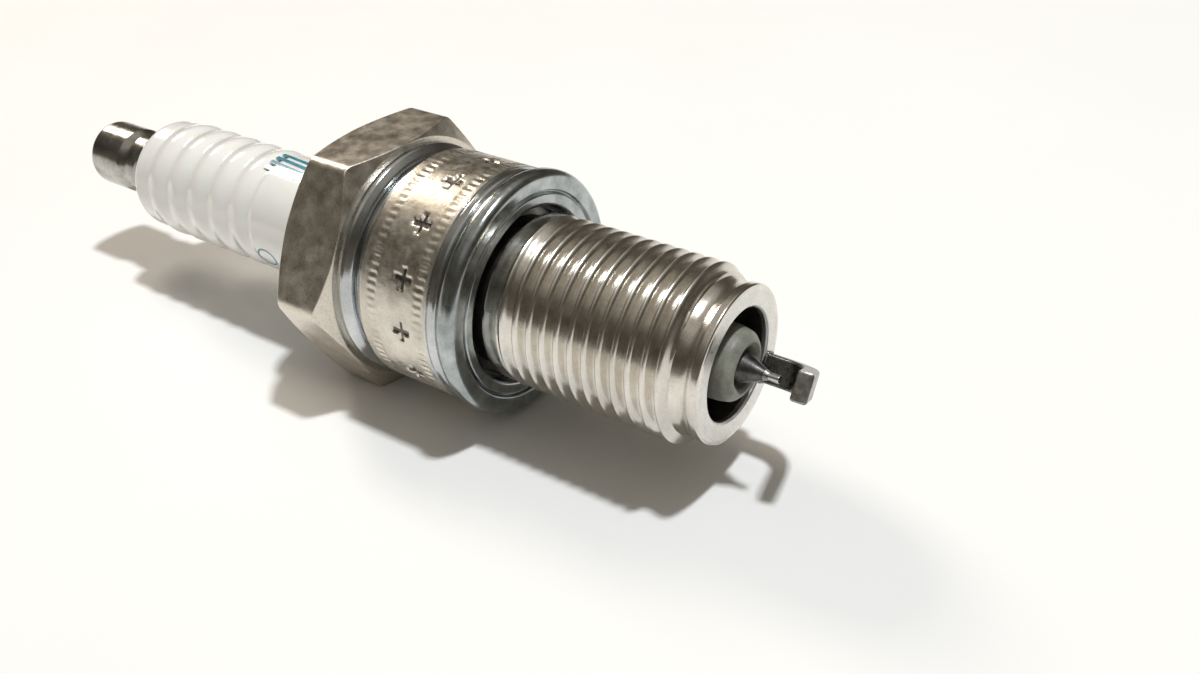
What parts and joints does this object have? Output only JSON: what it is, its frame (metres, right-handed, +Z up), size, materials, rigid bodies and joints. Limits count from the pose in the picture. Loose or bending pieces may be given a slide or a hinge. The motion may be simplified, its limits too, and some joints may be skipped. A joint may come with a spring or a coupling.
{
  "type": "spark plug",
  "caption": "Spark plug with threaded metal shell, hexagon, folded gasket, ribbed white insulator, removable terminal nut and fine-wire centre electrode.",
  "frame": {"origin": "on the plug's axis, in the plane of the new gasket's sealing face", "axes": "+X along the axis towards the firing end, +Z up with one flat of the hexagon facing straight down, +Y on the ground electrode's side, which stands 32 degrees below +Y"},
  "size_m": [0.0777, 0.0238, 0.0208],
  "materials": {
    "shell_plating": "satin nickel plating on rolled and stamped steel",
    "gasket_zinc": "clear bluish zinc on folded sheet steel",
    "insulator_glaze": "gloss white glaze; bare grey-olive alumina nose",
    "terminal_nickel": "bright nickel plate",
    "stud_steel": "plain turned steel",
    "seal_glass": "fired copper-filled glass",
    "resistor_body": "fired carbon and glass mix",
    "electrode_nickel": "dull nickel alloy",
    "core_copper": "drawn copper",
    "tip_noble": "ground noble-metal wire",
    "packing_steel": "soft steel wire and strip",
    "talc_powder": "pressed powder"
  },
  "bodies": {
    "plug": {"metal_shell": "shell_plating", "insulator": "insulator_glaze", "terminal_stud": "stud_steel", "upper_glass_seal": "seal_glass", "resistor": "resistor_body", "lower_glass_seal": "seal_glass", "centre_electrode": "electrode_nickel", "copper_core": "core_copper", "electrode_tip": "tip_noble", "tip_weld": "electrode_nickel", "seat_washer": "packing_steel", "lower_packing_ring": "packing_steel", "talc_ring": "talc_powder", "upper_packing_ring": "packing_steel", "ground_electrode": "electrode_nickel", "ground_electrode_weld": "electrode_nickel"},
    "gasket": {"gasket": "gasket_zinc"},
    "terminal_nut": {"terminal_nut": "terminal_nickel"}
  },
  "joints": [
    {"name": "gasket_float", "type": "slide", "parent": "plug", "child": "gasket", "axis": [1, 0, 0], "range_m": [0, 0.0022]},
    {"name": "terminal_unscrew", "type": "slide", "parent": "plug", "child": "terminal_nut", "axis": [-1, 0, 0], "range_m": [0, 0.007]}
  ]
}
